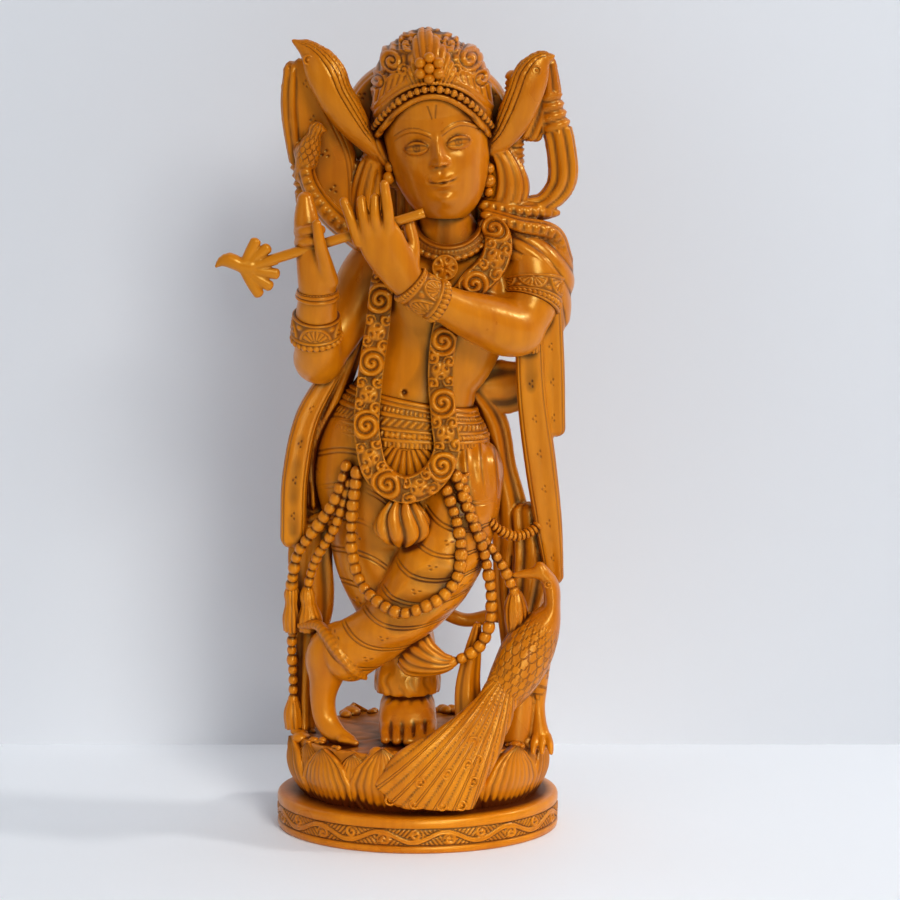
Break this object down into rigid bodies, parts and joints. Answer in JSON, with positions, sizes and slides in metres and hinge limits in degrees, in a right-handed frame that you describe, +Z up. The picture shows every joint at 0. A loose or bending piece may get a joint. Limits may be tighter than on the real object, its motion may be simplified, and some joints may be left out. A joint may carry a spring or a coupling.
{
  "type": "krishna figure",
  "caption": "Carved wooden flute-playing figure with crossed legs on a lotus and oval plinth, with scarves, bird heads and a peacock.",
  "frame": {"origin": "centre of the flat underside of the oval plinth", "axes": "+Z up, the player looks along -Y, +X to the right as the viewer sees it"},
  "size_m": [0.1664, 0.1056, 0.3823],
  "materials": {
    "waxed_wood": "stained honey orange, waxed, dark in the grooves",
    "flute_wood": "stained honey orange, waxed"
  },
  "bodies": {
    "root": {"figure": "waxed_wood", "flute": "flute_wood"}
  },
  "joints": []
}
